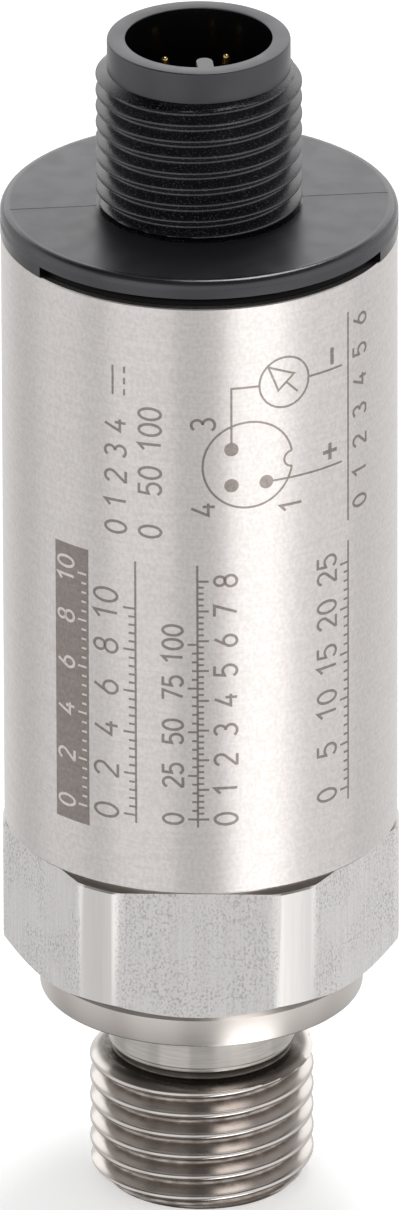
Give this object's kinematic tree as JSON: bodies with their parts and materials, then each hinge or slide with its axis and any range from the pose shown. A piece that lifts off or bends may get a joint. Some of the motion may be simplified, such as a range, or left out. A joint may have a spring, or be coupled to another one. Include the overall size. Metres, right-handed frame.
{
  "type": "pressure transmitter",
  "caption": "Slim stainless pressure transmitter: threaded process port with hexagon, brushed tube and a round plug connector with gold contacts.",
  "frame": {"origin": "centre of the end face of the process thread, on the axis", "axes": "+Z along the axis from the process port up to the connector, -Y towards the front"},
  "size_m": [0.023, 0.0228, 0.072],
  "materials": {
    "port_steel": "turned stainless steel, milled flats",
    "tube_steel": "stainless steel, brushed round the axis",
    "cap_plastic": "black glass-filled plastic, fine matt",
    "contact_gold": "gold-plated brass",
    "seal_rubber": "black rubber",
    "cell_ceramic": "white fired ceramic",
    "ring_plastic": "natural high-temperature plastic",
    "carrier_plastic": "dark grey moulded plastic",
    "board_laminate": "green solder mask over glass laminate",
    "chip_plastic": "black moulding compound",
    "capacitor_ceramic": "brown ceramic",
    "resistor_film": "black film on white ceramic",
    "flex_film": "amber film",
    "spring_metal": "copper alloy strip"
  },
  "bodies": {
    "root": {"process_port": "port_steel", "housing_tube": "tube_steel", "connector_cap": "cap_plastic", "contact_pin_1": "contact_gold", "contact_pin_3": "contact_gold", "contact_pin_4": "contact_gold", "cap_o_ring": "seal_rubber", "tube_o_ring": "seal_rubber", "cell_o_ring": "seal_rubber", "ceramic_cell": "cell_ceramic", "thrust_ring": "ring_plastic", "lock_ring": "port_steel", "board_carrier": "carrier_plastic", "main_board": "board_laminate", "contact_board": "board_laminate", "cell_chip": "chip_plastic", "control_chip": "chip_plastic", "amplifier_chip": "chip_plastic", "voltage_regulator": "chip_plastic", "surge_diodes": "chip_plastic", "capacitors": "capacitor_ceramic", "resistors": "resistor_film", "board_header": "chip_plastic", "flex_cable": "flex_film", "earth_spring": "spring_metal"}
  },
  "joints": []
}
